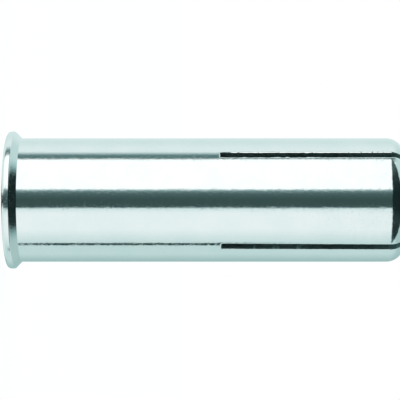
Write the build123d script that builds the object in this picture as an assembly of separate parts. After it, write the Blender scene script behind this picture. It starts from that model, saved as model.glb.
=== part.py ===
from build123d import *
import os

os.makedirs("parts", exist_ok=True)

# Drop-in anchor with a lip: a steel sleeve, sawn into four legs at its nose, and the tapered plug
# inside that a setting tool drives towards the nose to spread the legs in a drilled hole.
# The lip's face lies on z = 0 and the axis runs up +Z to the nose. Sizes are in millimetres.

# Outside of the sleeve
body_dia = 15.875  # 5/8 in, the drilled hole's nominal size
sleeve_length = 50.8  # 2 in
lip_projection = 0.87  # how far the lip stands out from the body
lip_rim = 0.95  # width of the lip's straight rim
lip_back = 0.75  # length of the cone from the rim back to the body
lip_edge = 0.3  # rounding of the rim's two edges
nose_round = 2.4  # rounding of the nose's outer corner

# Thread for the bolt, 1/2-13 UNC, drawn as its minor diameter
thread_major_dia = 12.7
thread_pitch = 25.4 / 13
thread_end = 20.6  # depth from the lip's face
mouth_overcut = 0.2  # how far the countersink opens past the thread's roots
minor_per_pitch = 1.0825  # the 60 degree thread's minor diameter is smaller by this

# Bore behind the thread
relief = 0.25  # the thread is formed inwards from a bore this much larger in radius
nose_bore_dia = 5.1
taper_length = 21.0  # from the nose face back to the plain bore

# Saw cuts that part the legs
slot_count = 4
slot_width = 0.85
slot_length = 23.5  # from the nose face back
slot_turn = 45.0  # angle of the first slot from +X

# Expander plug
plug_length = 15.0
plug_nose_dia = 8.0
plug_pass = 0.07  # radial clearance as the plug goes in through the thread
plug_seat = 0.05  # radial clearance between the plug's nose and the taper at rest
plug_edge = 0.4  # chamfer at both of its ends

# Worked out from the sizes above
body_r = body_dia / 2
lip_r = body_r + lip_projection
nose_bore_r = nose_bore_dia / 2
thread_r = (thread_major_dia - minor_per_pitch * thread_pitch) / 2
mouth_r = thread_major_dia / 2 + mouth_overcut
mouth_depth = mouth_r - thread_r
chamber_r = thread_r + relief
taper_start = sleeve_length - taper_length
taper_slope = (chamber_r - nose_bore_r) / taper_length
plug_r = thread_r - plug_pass
plug_nose_r = plug_nose_dia / 2
plug_front = taper_start + (chamber_r - plug_nose_r - plug_seat) / taper_slope
plug_back = plug_front - plug_length


def corners_at(section, points):
    """The section's corners that lie at the given points."""
    return [section.vertices().sort_by_distance(point)[0] for point in points]


def turned(section):
    """Turn a half section, drawn with x as radius and y as height, about the axis."""
    return revolve(Plane.XZ * section, Axis.Z)


def sleeve_blank():
    """The turned sleeve before it is slotted."""
    outline = [
        (mouth_r, 0),
        (lip_r, 0),
        (lip_r, lip_rim),
        (body_r, lip_rim + lip_back),
        (body_r, sleeve_length),
        (nose_bore_r, sleeve_length),
        (chamber_r, taper_start),
        (chamber_r, thread_end + relief),
        (thread_r, thread_end),
        (thread_r, mouth_depth),
    ]
    section = make_face(Polyline(outline, close=True))
    section = fillet(corners_at(section, [(lip_r, 0), (lip_r, lip_rim)]), lip_edge)
    section = fillet(corners_at(section, [(body_r, sleeve_length)]), nose_round)
    return turned(section)


def slot():
    """One saw cut, from the axis out through one side of the wall."""
    reach = 2 * lip_r
    cut = Box(reach, slot_width, 2 * slot_length, align=(Align.MIN, Align.CENTER, Align.CENTER))
    return Pos(0, 0, sleeve_length) * cut


def anchor_sleeve():
    """The sleeve, with its legs parted by evenly spaced slots."""
    sleeve = sleeve_blank()
    for n in range(slot_count):
        sleeve -= Rot(0, 0, slot_turn + n * 360 / slot_count) * slot()
    return sleeve


def expander_plug():
    """The solid tapered plug, resting with its nose in the wide end of the sleeve's taper."""
    outline = [(0, plug_back), (plug_r, plug_back), (plug_nose_r, plug_front), (0, plug_front)]
    section = make_face(Polyline(outline, close=True))
    ends = corners_at(section, [(plug_r, plug_back), (plug_nose_r, plug_front)])
    return turned(chamfer(ends, plug_edge))


for build in (anchor_sleeve, expander_plug):
    export_step(build(), f"parts/{build.__name__}.step")
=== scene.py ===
import math

import bpy
import numpy as np
from mathutils import Matrix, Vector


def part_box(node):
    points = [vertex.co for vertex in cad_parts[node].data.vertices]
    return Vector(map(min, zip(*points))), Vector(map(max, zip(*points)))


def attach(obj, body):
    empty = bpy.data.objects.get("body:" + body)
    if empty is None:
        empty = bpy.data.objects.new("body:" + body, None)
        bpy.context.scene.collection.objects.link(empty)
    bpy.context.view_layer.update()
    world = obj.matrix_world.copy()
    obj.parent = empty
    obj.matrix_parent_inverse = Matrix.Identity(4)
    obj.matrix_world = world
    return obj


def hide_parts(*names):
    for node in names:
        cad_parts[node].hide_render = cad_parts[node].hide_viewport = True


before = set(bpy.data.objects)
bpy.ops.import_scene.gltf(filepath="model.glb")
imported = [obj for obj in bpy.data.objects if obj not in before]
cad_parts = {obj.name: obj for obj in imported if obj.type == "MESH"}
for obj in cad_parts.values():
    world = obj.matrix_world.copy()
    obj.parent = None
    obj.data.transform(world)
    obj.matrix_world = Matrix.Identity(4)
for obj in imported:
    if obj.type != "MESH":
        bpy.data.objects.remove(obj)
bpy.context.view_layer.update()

MM = 0.001
TAU = 2 * math.pi

# Sizes in millimetres. The length and the lip's width are read from the frame. The rest repeats the
# CAD source, but for the thread's own form and the four sizes marked as fitted, which follow the
# photograph more closely than the solids do.
sleeve_lo, sleeve_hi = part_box("anchor_sleeve")
LENGTH = (sleeve_hi.z - sleeve_lo.z) / MM
LIP_R = (sleeve_hi.x - sleeve_lo.x) / 2 / MM
LIP_PROJECTION = 0.87
BODY_R = LIP_R - LIP_PROJECTION
LIP_RIM = 0.95
LIP_BACK = 0.85  # fitted
LIP_EDGE = 0.45  # fitted
LIP_BACK_EDGE = 0.2  # fitted
NOSE_ROUND = 2.25  # fitted

MAJOR_R = 6.35
PITCH = 25.4 / 13
MINOR_PER_PITCH = 1.0825
MINOR_R = MAJOR_R - MINOR_PER_PITCH * PITCH / 2
CREST = 0.125  # half the flat of the thread's crest, in pitches
FLANK = 0.3125  # length of one flank along the axis, in pitches
THREAD_END = 20.6
TAP_CONE = 3.9  # length over which the thread's depth runs out
MOUTH_OVERCUT = 0.2
MOUTH_R = MAJOR_R + MOUTH_OVERCUT

RELIEF = 0.25
CHAMBER_R = MINOR_R + RELIEF
NOSE_BORE_R = 2.55
TAPER_LENGTH = 21.0
TAPER_START = LENGTH - TAPER_LENGTH

LEGS = 4
SLOT_LENGTH = 23.5
SLOT_ROOT = LENGTH - SLOT_LENGTH
SLOT_TURN = math.radians(45)
# Two opposite slots are one pass of the saw: slot k belongs to pass k % 2. Each pass has its own
SAW_WIDTH = (0.81, 0.98)
SAW_DEPTH = (-0.12, 0.0)  # height of the root, off the drawn one
SAW_CORNER = (0.02, 0.16)  # rounding of the root's corners
SAW_ANGLE = (math.radians(-1.38), math.radians(1.68))  # off the drawn angle
SAW_LEAN = (math.radians(-0.2), math.radians(1.05))  # change of angle from root to nose
ROOT_FADE = (0.5, 4.0)  # distances from the root between which its depth's effect fades out

# The broken edge along the slots, outside
RIM = 0.12  # its width
RIM_DEPTH = 0.055  # how far it goes down into the slot
RIM_RAGGED = 0.02  # how much its width wanders
RIM_LEAST = 0.5  # share of RIM that is always left
RIM_AT_ROOT = 0.4  # share of the width on the lower-angle side beside the root
RIM_LOST = 0.7  # share of RIM that is gone on the nose's rounding
RIM_LOST_OVER = (-0.2, 0.6)  # heights over the rounding's start between which it goes
RIM_FULL_R = 3.6  # radius on the nose's face from which it narrows to nothing at the bore
BURR = 0.015  # raggedness of the slot's mouth
SINK_CURVE = 1.3  # power of its slope, where 1 is a plain chamfer
SINK_ROUGH = 0.3  # how much its depth wanders
CALM = 0.8  # share of that wandering that is gone near the nose
CALM_OVER = (38, 43)  # heights between which it goes
# Share of RIM and of RIM_DEPTH for each pass, on its slots' lower-angle and higher-angle side
SAW_EDGE = ((1.2, 1.6), (0.8, 0.15))
SAW_SINK = ((1.2, 1.6), (0.32, 0.15))
# Chance lines, as pairs of the steps from knot to knot and the size
RIM_WAVES = ((1, 0.7), (3, 0.5))
BURR_WAVES = ((1, 0.7), (3, 0.4))
SINK_WAVES = ((2, 0.8),)

# Rows and columns of the sleeve's grid
THREAD_ROWS = 14  # for each pitch
OVER_LIP = (0.06, 0.2, 0.6)  # distances of the close rows over the lip's cone
UNDER_SLOT = (0.5, 0.2, 0.06, 0)  # and under the slots' edge, the first ending the even rows
FACE_ENDS = (0.06, 0.05)  # distances of the lip's face rows from the mouth and the rounding
OVER_ROOT = 0.03  # height of the legs' first outside row over the slots' root
INSIDE_ENDS = (0.08, 0.1)  # distances of the inside rows from the nose's face and the root
SIDE_ROWS = 150
NOSE_ROWS = 14
NOSE_FACE = (5.3, 4.8, 4.2, 3.6, 3.1, 2.8, 2.65)  # radii of the rows on the nose's face
LEG_COLUMNS = 26  # between the last support columns of a leg
SUPPORTS = (0.0, 0.05, 0.2)  # distances of a leg's first and last columns from its broken edge
ACROSS = np.linspace(-1, 1, 9)  # columns over a slot, below its root, from edge to edge
EDGE_TURNS = 3  # strips across the broken edge

OUTSIDE, WALL, BORE = 0, 1, 2  # surfaces of the sleeve, in the order of its materials

# Small helpers
rng = np.random.default_rng(13)


def smooth(lo, hi, x):
    """0 below lo, 1 above hi, and a smooth step between."""
    t = np.clip((np.asarray(x, float) - lo) / (hi - lo), 0, 1)
    return t * t * (3 - 2 * t)


def line(p, q, n):
    """n points on the way from p to q, without p."""
    return [tuple(np.array(p) + (np.array(q) - np.array(p)) * i / n) for i in range(1, n + 1)]


def arc(cx, cz, radius, a0, a1, n):
    """n points of an arc in the profile plane, in degrees, without the first."""
    angles = [math.radians(a0 + (a1 - a0) * i / n) for i in range(1, n + 1)]
    return [(cx + radius * math.cos(a), cz + radius * math.sin(a)) for a in angles]


def wander(n, waves, scale=1.0):
    """A chance line of n values: the sum of waves, each with straight parts between its knots."""
    total = 0
    for step, size in waves:
        knots = rng.normal(0, 1, n // step + 4)
        total = total + scale * size * np.interp(np.arange(n) / step, np.arange(len(knots)), knots)
    return total


class Shell:
    """Points in millimetres and faces, gathered for one mesh."""

    def __init__(self):
        self.points, self.faces, self.kinds = [], [], []

    def put(self, r, z, angle):
        """Add a point and return its number."""
        self.points.append((r * math.cos(angle), r * math.sin(angle), z))
        return len(self.points) - 1

    def strip(self, a, b, surface):
        """Faces between two lines of points. One with fewer than three corners is left out."""
        for i in range(len(a) - 1):
            corners = [a[i], a[i + 1], b[i + 1], b[i]]
            kept = [c for n, c in enumerate(corners) if c != corners[n - 1]]
            if len(kept) > 2:
                self.faces.append(kept)
                self.kinds.append(surface)

    def mesh(self, name, materials, sharp=32):
        """The mesh object, with smooth shading but for corners sharper than so many degrees."""
        mesh = bpy.data.meshes.new(name)
        mesh.from_pydata([tuple(p) for p in np.array(self.points) * MM], [], self.faces)
        for m in materials:
            mesh.materials.append(m)
        mesh.polygons.foreach_set("material_index", self.kinds)
        mesh.shade_smooth()
        mesh.set_sharp_from_angle(angle=math.radians(sharp))
        mesh.validate()
        mesh.update()
        obj = bpy.data.objects.new(name, mesh)
        bpy.context.scene.collection.objects.link(obj)
        return obj


# Node trees
class Tree:
    """Short words for building a node tree."""

    def __init__(self, owner):
        owner.use_nodes = True
        self.tree = owner.node_tree
        self.tree.nodes.clear()

    def add(self, kind, inputs=None, **props):
        node = self.tree.nodes.new(kind)
        for k, v in props.items():
            setattr(node, k, v)
        for k, v in (inputs or {}).items():
            if isinstance(v, bpy.types.NodeSocket):
                self.tree.links.new(v, node.inputs[k])
            else:
                node.inputs[k].default_value = v
        return node

    def math(self, op, a, b=0.0, c=0.0):
        return self.add("ShaderNodeMath", {0: a, 1: b, 2: c}, operation=op).outputs[0]

    def scaled(self, vector, factors):
        return self.add(
            "ShaderNodeVectorMath", {0: vector, 1: factors}, operation="MULTIPLY"
        ).outputs[0]

    def ramp(self, fac, stops):
        """Colours along a value, from pairs of a place and a colour."""
        node = self.add("ShaderNodeValToRGB", {0: fac})
        elements = node.color_ramp.elements
        while len(elements) < len(stops):
            elements.new(0.5)
        for element, (at, colour) in zip(elements, stops):
            element.position = at
            element.color = (*colour, 1)
        return node.outputs[0]

    def mix(self, fac, a, b):
        """A mix of two colours, each a socket or red, green and blue."""
        a, b = ((*c, 1) if isinstance(c, tuple) else c for c in (a, b))
        return self.add(
            "ShaderNodeMix", {0: fac, 6: a, 7: b}, data_type="RGBA", clamp_factor=True
        ).outputs[2]

    def span(self, value, lo, hi, to_lo=0.0, to_hi=1.0):
        """A smooth step: to_lo where the value is at lo or beyond, to_hi where it is at hi."""
        return self.add(
            "ShaderNodeMapRange",
            {0: value, 1: lo, 2: hi, 3: to_lo, 4: to_hi},
            interpolation_type="SMOOTHSTEP",
        ).outputs[0]

    def noise(self, vector, scale, detail=2.0, roughness=0.5):
        return self.add(
            "ShaderNodeTexNoise",
            {"Vector": vector, "Scale": scale, "Detail": detail, "Roughness": roughness},
        ).outputs[0]


# Materials. Each look gives a colour, a roughness, a height and the height's size in metres.
def metal(name, look):
    """A metal with the given look."""
    m = bpy.data.materials.new(name)
    t = Tree(m)
    colour, rough, height, size = look(t, t.add("ShaderNodeTexCoord").outputs["Object"])
    bump = t.add("ShaderNodeBump", {"Strength": 1.0, "Distance": size, "Height": height})
    shader = t.add(
        "ShaderNodeBsdfPrincipled",
        {"Base Color": colour, "Metallic": 1.0, "Roughness": rough, "Normal": bump.outputs[0]},
    )
    t.add("ShaderNodeOutputMaterial", {0: shader.outputs[0]})
    return m


def plated(t, at):
    """Bright zinc plate: teal-tinted, satin, finely mottled, faintly streaked along the axis."""
    mottle = t.noise(at, 4800, 1.0)
    streak = t.noise(t.scaled(at, (1, 1, 0.07)), 2600)
    patch = t.noise(at, 260)
    shades = t.span(t.math("ADD", patch, mottle), 0.7, 1.3)
    colour = t.mix(shades, (0.775, 0.828, 0.828), (0.825, 0.855, 0.853))
    mottle_rough = t.span(mottle, 0.42, 0.8, 0.04, 0.21)
    satin = t.math("ADD", mottle_rough, t.span(streak, 0.3, 0.7, 0.0, 0.02))
    # the lip is a little duller than the body
    z = t.add("ShaderNodeSeparateXYZ", {0: at}).outputs[2]
    lip = t.span(z, (LIP_RIM + LIP_BACK) * MM, LIP_RIM * MM, 0.0, 0.07)
    height = t.math("MULTIPLY_ADD", streak, 0.06, mottle)
    return colour, t.math("ADD", satin, lip), height, 0.0000035


def sawn_painted_shade(t, at):
    """The slots' walls: plated over saw marks, so duller; darker in colour as painted shade of the
    slots, with lighter patches of painted reflected light.
    """
    grain = t.noise(at, 5200, 3.0, 0.6)
    # the large patches are painted light: lighter spots of reflected light on the walls
    patch = t.noise(at, 210, 1.0)
    shades = t.math("ADD", t.span(patch, 0.35, 0.7), t.math("MULTIPLY", grain, 0.3))
    # painted shade: the walls' colour is kept well below the plate's, for the shade in the slots
    colour = t.mix(shades, (0.35, 0.48, 0.48), (0.50, 0.63, 0.63))
    return colour, t.span(grain, 0.3, 0.7, 0.35, 0.5), grain, 0.00004


def bored(t, at):
    """The bore and its thread: grey steel, darker than the outside, with rings from the tool."""
    rings = t.noise(t.scaled(at, (0.1, 0.1, 1)), 5200)
    grain = t.noise(at, 3000)
    colour = t.mix(grain, (0.46, 0.52, 0.52), (0.58, 0.63, 0.63))
    height = t.math("ADD", rings, t.math("MULTIPLY", grain, 0.5))
    return colour, t.span(rings, 0.3, 0.7, 0.3, 0.42), height, 0.00002


def turned(t, at):
    """The plug: turned steel, lightly plated, with fine rings round the axis."""
    rings = t.noise(t.scaled(at, (0.06, 0.06, 1)), 6500, 2.0, 0.6)
    grain = t.noise(at, 2500, 3.0, 0.55)
    colour = t.mix(grain, (0.56, 0.57, 0.56), (0.67, 0.67, 0.64))
    height = t.math("ADD", rings, t.math("MULTIPLY", grain, 0.3))
    return colour, t.span(rings, 0.3, 0.7, 0.25, 0.36), height, 0.00002


# Sleeve: one grid of rows (round the half section) and columns (round the axis)
class Row:
    """One row: its place in the section, its outward normal and its broken edge's width."""

    def __init__(self, r, z, kind, rim=0.0, normal=(1.0, 0.0), surface=OUTSIDE):
        self.r = r  # None on the thread, whose radius depends on the angle
        self.z = z
        self.kind = kind  # "ring" all the way round, "leg" only on the legs
        self.rim = rim
        self.normal = normal
        self.surface = surface


def thread_radius(z, angle):
    """Radius of the threaded wall at a height and angle: a right-hand 60 degree thread."""
    phase = np.mod(z / PITCH - angle / TAU, 1.0)
    off_crest = np.minimum(phase, 1 - phase)
    depth = np.clip((off_crest - CREST) / FLANK, 0, 1)
    wall = MINOR_R + (MAJOR_R - MINOR_R) * depth
    spent = np.clip((z - THREAD_END + TAP_CONE) / TAP_CONE, 0, 1)
    run_out = MAJOR_R - (MAJOR_R - MINOR_R) * spent
    return np.maximum(np.minimum(wall, run_out), MOUTH_R - z)


def section_rows():
    """The rows, and how many of them lie on the legs' outside.

    They run from the bore at the slots' root down through the thread, round the lip, up to the
    nose and back down inside the legs.
    """
    rows = []

    def ring(points, surface=OUTSIDE, rim=0.0):
        rows.extend(Row(r, z, "ring", rim, surface=surface) for r, z in points)

    # the plain bore and the relief behind the thread
    relief = (CHAMBER_R, THREAD_END + RELIEF)
    ring([(CHAMBER_R, SLOT_ROOT)], BORE)
    ring(line((CHAMBER_R, SLOT_ROOT), relief, 8), BORE)
    ring(line(relief, (MINOR_R, THREAD_END), 2), BORE)
    # the thread and its countersunk mouth
    steps = round(THREAD_END / PITCH * THREAD_ROWS)
    ring([(None, THREAD_END * (1 - i / steps)) for i in range(1, steps + 1)], BORE)
    # the lip's face, with a row close to each of its edges
    face_start, face_end = MOUTH_R + FACE_ENDS[0], LIP_R - LIP_EDGE
    ring([(face_start, 0)])
    ring(line((face_start, 0), (face_end - FACE_ENDS[1], 0), 4) + [(face_end, 0)])
    # the lip's rounded rim and its cone
    slope = math.degrees(math.atan2(LIP_R - BODY_R, LIP_BACK))
    rim_top = LIP_RIM - LIP_BACK_EDGE * math.tan(math.radians(slope / 2))
    cone_top = LIP_RIM + LIP_BACK
    ring(arc(face_end, LIP_EDGE, LIP_EDGE, -90, 0, 7))
    ring(line((LIP_R, LIP_EDGE), (LIP_R, rim_top), 3))
    ring(arc(LIP_R - LIP_BACK_EDGE, rim_top, LIP_BACK_EDGE, 0, slope, 4))
    ring(line((rows[-1].r, rows[-1].z), (BODY_R, cone_top), 6))
    # the body up to the slots
    top = SLOT_ROOT - RIM
    ring([(BODY_R, cone_top + d) for d in OVER_LIP])
    ring(line((BODY_R, cone_top + OVER_LIP[-1]), (BODY_R, top - UNDER_SLOT[0]), 24))
    ring([(BODY_R, top - d) for d in UNDER_SLOT[1:]], rim=RIM)
    # the legs' outside and nose
    first = (BODY_R, SLOT_ROOT + OVER_ROOT)
    side = line(first, (BODY_R, LENGTH - NOSE_ROUND), SIDE_ROWS)
    outer = [(p, (1, 0)) for p in [first] + side]
    centre = (BODY_R - NOSE_ROUND, LENGTH - NOSE_ROUND)
    for p in arc(*centre, NOSE_ROUND, 0, 90, NOSE_ROWS):
        outer.append((p, tuple((np.array(p) - centre) / NOSE_ROUND)))
    outer += [((r, LENGTH), (0, 1)) for r in NOSE_FACE]
    for (r, z), normal in outer:
        share = 1 - RIM_LOST * float(smooth(*RIM_LOST_OVER, z - LENGTH + NOSE_ROUND))
        if r <= NOSE_FACE[0]:
            share *= float(smooth(NOSE_BORE_R, RIM_FULL_R, r))
        rows.append(Row(r, z, "leg", RIM * share, normal))
    rows.append(Row(NOSE_BORE_R, LENGTH, "leg", normal=(0, 1)))
    # back down inside the legs, with as many rows as on their outside
    high, low = (0, LENGTH - INSIDE_ENDS[0]), (0, SLOT_ROOT + INSIDE_ENDS[1])
    for _, z in [high] + line(high, low, len(outer) - 1):
        up = max(0.0, z - TAPER_START)
        r = CHAMBER_R - (CHAMBER_R - NOSE_BORE_R) * up / (LENGTH - TAPER_START)
        rows.append(Row(r, z, "leg", surface=BORE))
    return rows, len(outer)


def half_width(k):
    """Half of slot k's width."""
    return SAW_WIDTH[k % 2] / 2


def slot_angle(k, z):
    """Angle of the middle of slot k at a height."""
    along = max(0.0, z - SLOT_ROOT) / (LENGTH - SLOT_ROOT)
    return SLOT_TURN + k * TAU / LEGS + SAW_ANGLE[k % 2] + SAW_LEAN[k % 2] * along


def root_shift(k, t):
    """How far slot k's root lies off its drawn height, at t from -1 to 1 across it."""
    corner = SAW_CORNER[k % 2]
    half = half_width(k)
    into = max(0.0, abs(t) * half - (half - corner)) / corner
    return SAW_DEPTH[k % 2] + corner * (1 - math.sqrt(max(0.0, 1 - into * into)))


def near_root(z):
    """1 beside the slots' root, fading to 0 above and below it."""
    return float(1 - smooth(*ROOT_FADE, abs(z - SLOT_ROOT)))


def build_sleeve(materials):
    """The slotted sleeve with its thread, as one closed mesh."""
    rows, n_outer = section_rows()
    n_ring = sum(row.kind == "ring" for row in rows)
    shell = Shell()
    jitter = [[wander(len(rows), RIM_WAVES, RIM_RAGGED) for _ in range(2)] for _ in range(LEGS)]

    def rim_at(i, k, side):
        """Width of slot k's broken edge at row i, on its lower-angle (0) or higher-angle side."""
        row = rows[i]
        if row.rim == 0 or row.kind == "ring":
            return row.rim
        width = max(RIM_LEAST * RIM, RIM + float(jitter[k][side][i])) * SAW_EDGE[k % 2][side]
        if side == 0:
            away = float(smooth(*ROOT_FADE, row.z - SLOT_ROOT))
            width *= RIM_AT_ROOT + (1 - RIM_AT_ROOT) * away
        return width * row.rim / RIM

    def place(row, k, offset, shift):
        """A grid vertex of a row, at an angle from slot k, moved with the slots' root."""
        angle = slot_angle(k, row.z) + offset
        z = row.z + shift * near_root(row.z)
        r = thread_radius(z, angle) if row.r is None else row.r
        return shell.put(float(r), z, angle)

    def leg_columns(i, k):
        """Vertices of row i on leg k, which lies between slot k-1 and slot k."""
        row = rows[i]
        r = row.r or MINOR_R
        start = half_width(k - 1) + rim_at(i, (k - 1) % LEGS, 1)
        end = half_width(k) + rim_at(i, k, 0)
        near = [math.asin((start + s) / r) for s in SUPPORTS]
        far = [math.asin((end + s) / r) for s in SUPPORTS]
        whole = slot_angle(k, row.z) - slot_angle(k - 1, row.z)
        middle = whole - near[-1] - far[-1]
        between = [middle * n / (LEG_COLUMNS + 1) for n in range(1, LEG_COLUMNS + 1)]
        offsets = near + [near[-1] + a for a in between] + [whole - a for a in reversed(far)]
        left, right = root_shift(k - 1, 1), root_shift(k, 1)
        out = []
        for a in offsets:
            w = float(smooth(0, 1, a / whole))
            out.append(place(row, k - 1, a, left * (1 - w) + right * w))
        return out

    def slot_columns(row, k):
        """Vertices of a ring row over slot k."""
        r = row.r or MINOR_R
        reach = half_width(k) + row.rim
        return [place(row, k, math.asin(t * reach / r), root_shift(k, t)) for t in ACROSS[1:-1]]

    legs = [[leg_columns(i, k) for k in range(LEGS)] for i in range(len(rows))]
    slots = [[slot_columns(row, k) for k in range(LEGS)] for row in rows if row.kind == "ring"]

    def over_slot(i, k):
        """Ring row i's vertices over slot k, with those that bound it on the two legs."""
        return [legs[i][k][-1]] + slots[i][k] + [legs[i][(k + 1) % LEGS][0]]

    for i in range(len(rows)):
        j = (i + 1) % len(rows)
        surface = max(rows[i].surface, rows[j].surface)
        for k in range(LEGS):
            shell.strip(legs[i][k], legs[j][k], surface)
            if rows[i].kind == rows[j].kind == "ring":
                shell.strip(over_slot(i, k), over_slot(j, k), surface)

    # The slots' broken, ragged outer edges and their walls
    root_row = n_ring - 1
    tip = n_ring + n_outer
    for k in range(LEGS):
        nxt = (k + 1) % LEGS
        up = range(tip, root_row, -1)
        # from the nose down leg k, over the root and up the next leg, as a row, t and a vertex:
        # t runs across the slot, from -1 on leg k, at the lower angle, to 1 on the next leg
        path = [(i, -1, legs[i][k][-1]) for i in up]
        path += [(root_row, t, v) for t, v in zip(ACROSS, over_slot(root_row, k))]
        path += [(i, 1, legs[i][nxt][0]) for i in reversed(up)]
        ragged = wander(len(path), BURR_WAVES)
        height = wander(len(path), SINK_WAVES)
        loops = [[v for _, _, v in path]]
        for turn in range(1, EDGE_TURNS + 1):
            part = turn / EDGE_TURNS
            loop = []
            for n, (i, t, v) in enumerate(path):
                row = rows[i]
                if row.rim == 0:
                    loop.append(v)
                    continue
                side = 0 if t < 0 else 1
                width = rim_at(i, k, side)
                grow = row.rim / RIM
                rough = SINK_ROUGH * height[n] * (1 - CALM * float(smooth(*CALM_OVER, row.z)))
                deepest = RIM_DEPTH * grow * SAW_SINK[k % 2][side]
                sink = deepest * (1 + rough) * part ** SINK_CURVE
                reach = half_width(k) + width * (1 - part) - BURR * grow * ragged[n] * part
                r = row.r - sink * row.normal[0]
                z = row.z - sink * row.normal[1]
                z += root_shift(k, t) * near_root(row.z)
                if i == root_row:
                    z += width * part
                loop.append(shell.put(r, z, slot_angle(k, row.z) + math.asin(t * reach / r)))
            loops.append(loop)
        down = range(tip, len(rows))
        inner = [legs[i][k][-1] for i in down] + over_slot(0, k)
        inner += [legs[i][nxt][0] for i in reversed(down)]
        for a, b in zip(loops, loops[1:]):
            shell.strip(a, b, OUTSIDE)
        shell.strip(loops[-1], inner, WALL)
    return shell.mesh("sleeve_plated", materials)


# Stage: studio world, floor and camera
def studio_bands():
    """The walls' colours by azimuth in degrees: -Y, where the camera is, is 0 and -X is 90."""
    white = (1.25, 1.30, 1.28)
    pale = (0.86, 0.97, 0.97)
    pale_low = (0.74, 0.89, 0.88)
    soft = (0.96, 1.035, 1.035)
    soft_edge = (0.78, 0.93, 0.93)
    soft_low = (0.64, 0.82, 0.81)
    back = (0.62, 0.80, 0.79)
    back_low = (0.40, 0.58, 0.57)
    glow = (0.36, 0.53, 0.53)
    dusk = (0.19, 0.30, 0.30)
    shade = (0.092, 0.155, 0.155)
    dim = (0.064, 0.118, 0.116)
    dark = (0.045, 0.087, 0.085)
    horizon = (0.115, 0.21, 0.21)
    haze = (0.26, 0.39, 0.39)
    mist = (0.60, 0.74, 0.74)
    return [
        # the backdrop
        (-180, back_low), (-150, back_low), (-118, back), (-91, back),
        # the pale softbox
        (-87, soft_low), (-55, soft), (-24, soft), (-15, soft_edge), (-14.1, glow),
        # the dark behind the camera
        (-13.1, dark), (2, dark), (9, dim), (13.6, shade), (17.2, dusk), (19.2, glow),
        # the white softbox
        (20.6, white), (79.6, white),
        # a dim strip beside it and the backdrop again
        (83.2, horizon), (91, horizon), (94.5, haze), (98, mist),
        (102, pale), (112, pale), (135, pale_low), (180, pale_low),
    ]


def room_depths():
    """The dark room's colours by the direction's x: -X is the photograph's top."""
    murk = (0.088, 0.15, 0.148)
    cloud = (0.080, 0.131, 0.130)
    cloud_low = (0.050, 0.085, 0.085)
    sheen = (0.030, 0.053, 0.051)
    sheen_low = (0.0275, 0.046, 0.046)
    soot = (0.019, 0.034, 0.034)
    black = (0.010, 0.021, 0.021)
    return [
        (-0.97, murk), (-0.88, cloud), (-0.72, sheen), (-0.53, soot), (-0.2, black),
        (0.25, black), (0.53, sheen_low), (0.72, soot), (0.88, soot), (0.97, cloud_low),
    ]


# Where the studio's parts begin and end, in the direction's x, y or z unless degrees are named.
# A part is absent at a pair's first value and whole at its second.
GAP_AZIMUTH = -89.0  # degrees
GAP_HALF = (3.9, 2.5)  # degrees to each side
GAP_FOOT = (-0.114, -0.103)
GAP_HEAD = (0.06, 0.04)
CEILING = (0.3, 0.6)
CEILING_LOW = (0.2, 0.45)  # where it is darker, towards +X
ZENITH = (0.78, 0.9)
ZENITH_LOW = (-0.3, 0.5)  # where it is darker, towards +X
GROUND = (-0.45, -0.70)
GROUND_ASIDE = (0.08, 0.25)
ROOM_FOOT = (0.15, 0.20)
ROOM_LEAN = (-0.1, 0.1, 0.488, 0.325)  # two places, and how far the room's border leans there
ROOM_FRONT = (0.03, -0.03)
SLIT_ASIDE = (0.56, 0.375)
SLIT_BACK = (0.5, 0.25)
UNDER = (-0.6, -0.8)
UNDER_ASIDE = (0.13, 0.07)
RED_FADE = 0.75  # red goes first where the room darkens, so that its edges are teal, not grey


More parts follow.
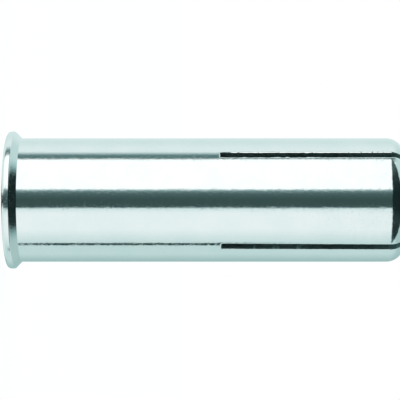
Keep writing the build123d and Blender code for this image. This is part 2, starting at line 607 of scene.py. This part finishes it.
def studio_world():
    """Soft studio light: two softboxes, a pale backdrop and ceiling, and a dark room in front.

    The camera sees plain white instead.
    """
    world = bpy.data.worlds.new("studio")
    bpy.context.scene.world = world
    t = Tree(world)
    at = t.add("ShaderNodeTexCoord").outputs["Generated"]
    x, y, z = t.add("ShaderNodeSeparateXYZ", {0: at}).outputs
    azimuth = t.math("ARCTAN2", t.math("MULTIPLY", x, -1.0), t.math("MULTIPLY", y, -1.0))
    turn = t.math("ADD", t.math("DIVIDE", azimuth, TAU), 0.5)
    aside = t.math("ABSOLUTE", x)

    # the walls, with one thin dark gap
    walls = t.ramp(turn, [(a / 360 + 0.5, c) for a, c in studio_bands()])
    off = t.math("ABSOLUTE", t.math("SUBTRACT", turn, 0.5 + GAP_AZIMUTH / 360))
    thin = t.span(off, GAP_HALF[0] / 360, GAP_HALF[1] / 360)
    tall = t.math("MULTIPLY", t.span(z, *GAP_FOOT), t.span(z, *GAP_HEAD))
    walls = t.mix(t.math("MULTIPLY", thin, tall), walls, (0.015, 0.05, 0.05))

    # the ceiling, the zenith and the ground
    ceiling = t.mix(t.span(x, *CEILING_LOW), (0.62, 0.80, 0.79), (0.46, 0.63, 0.62))
    walls = t.mix(t.span(z, *CEILING), walls, ceiling)
    zenith = t.mix(t.span(x, *ZENITH_LOW), (0.58, 0.77, 0.76), (0.45, 0.63, 0.62))
    walls = t.mix(t.span(z, *ZENITH), walls, zenith)
    ground = t.math("MULTIPLY", t.span(z, *GROUND), t.span(aside, *GROUND_ASIDE))
    walls = t.mix(ground, walls, (0.82, 0.94, 0.93))

    # the dark room high on the camera's side, its slit past the zenith and a dark strip below
    lean = t.span(x, *ROOM_LEAN)
    front = t.span(t.math("MULTIPLY_ADD", z, lean, y), *ROOM_FRONT)
    slit = t.math("MULTIPLY", t.span(aside, *SLIT_ASIDE), t.span(y, *SLIT_BACK))
    room = t.math("MULTIPLY", t.span(z, *ROOM_FOOT), t.math("MAXIMUM", front, slit))
    under = t.math("MULTIPLY", t.span(z, *UNDER), t.span(aside, *UNDER_ASIDE))
    dark_part = t.math("MAXIMUM", room, under)
    across = t.math("MULTIPLY_ADD", x, 0.5, 0.5)
    depths = t.ramp(across, [(0.5 + a / 2, c) for a, c in room_depths()])
    parts = t.add(
        "ShaderNodeCombineXYZ",
        {0: t.math("POWER", dark_part, RED_FADE), 1: dark_part, 2: dark_part},
    )
    colour = t.add(
        "ShaderNodeMix",
        {1: parts.outputs[0], 4: walls, 5: depths},
        data_type="VECTOR",
        factor_mode="NON_UNIFORM",
        clamp_factor=True,
    ).outputs[1]

    studio = t.add("ShaderNodeBackground", {0: colour, 1: 1.0})
    plain = t.add("ShaderNodeBackground", {0: (1, 1, 1, 1), 1: 1.0})
    seen = t.add("ShaderNodeLightPath").outputs["Is Camera Ray"]
    out = t.add("ShaderNodeMixShader", {0: seen, 1: studio.outputs[0], 2: plain.outputs[0]})
    t.add("ShaderNodeOutputWorld", {0: out.outputs[0]})


def floor(reach=2.5, corners=96):
    """A plain round floor, near white to the camera, that keeps a soft shadow."""
    m = bpy.data.materials.new("floor")
    t = Tree(m)
    path = t.add("ShaderNodeLightPath").outputs
    pale = t.add("ShaderNodeBsdfDiffuse", {0: (0.85, 0.85, 0.85, 1)})
    # the camera sees a dim floor lifted to near white, so that its shadow is faint
    part = t.add("ShaderNodeBsdfDiffuse", {0: (0.3, 0.3, 0.3, 1)})
    lift = t.add("ShaderNodeEmission", {0: (1, 1, 1, 1), 1: 0.91})
    seen = t.add("ShaderNodeAddShader", {0: part.outputs[0], 1: lift.outputs[0]})
    clear = t.add("ShaderNodeBsdfTransparent")
    look = t.add(
        "ShaderNodeMixShader",
        {0: path["Is Camera Ray"], 1: pale.outputs[0], 2: seen.outputs[0]},
    )
    # reflected rays and shadow rays pass through it
    through = t.math("MAXIMUM", path["Is Glossy Ray"], path["Is Shadow Ray"])
    out = t.add("ShaderNodeMixShader", {0: through, 1: look.outputs[0], 2: clear.outputs[0]})
    t.add("ShaderNodeOutputMaterial", {0: out.outputs[0]})
    mesh = bpy.data.meshes.new("floor")
    angles = [TAU * i / corners for i in range(corners)]
    ring = [(reach * math.cos(a), reach * math.sin(a), 0) for a in angles]
    mesh.from_pydata(ring, [], [list(range(corners))])
    mesh.materials.append(m)
    obj = bpy.data.objects.new("floor", mesh)
    bpy.context.scene.collection.objects.link(obj)


def camera():
    """The photograph's camera, lying on its side: the picture's right is +Z and its top is -X."""
    data = bpy.data.cameras.new("camera")
    data.sensor_width = 36.0
    data.lens = 155.3
    data.clip_start, data.clip_end = 0.01, 20
    obj = bpy.data.objects.new("camera", data)
    bpy.context.scene.collection.objects.link(obj)
    distance, height, turn = 0.222, 24.65 * MM, math.radians(0.5)
    back = np.array([-math.sin(turn), -math.cos(turn), 0])
    right = np.array([0, 0, 1.0])
    up = np.cross(back, right)
    m = Matrix.Identity(4)
    for i in range(3):
        m[i][0], m[i][1], m[i][2] = right[i], up[i], back[i]
        m[i][3] = back[i] * distance + right[i] * height
    obj.matrix_world = m
    bpy.context.scene.camera = obj


# The scene
bpy.context.scene.view_settings.view_transform = "Standard"
camera()
studio_world()
floor()

looks = [("zinc_plate", plated), ("sawn_walls_painted_shade", sawn_painted_shade), ("bored_steel", bored)]
sleeve = build_sleeve([metal(name, look) for name, look in looks])
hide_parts("anchor_sleeve")
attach(sleeve, "sleeve")

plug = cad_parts["expander_plug"]
plug.data.materials.clear()
plug.data.materials.append(metal("turned_steel", turned))
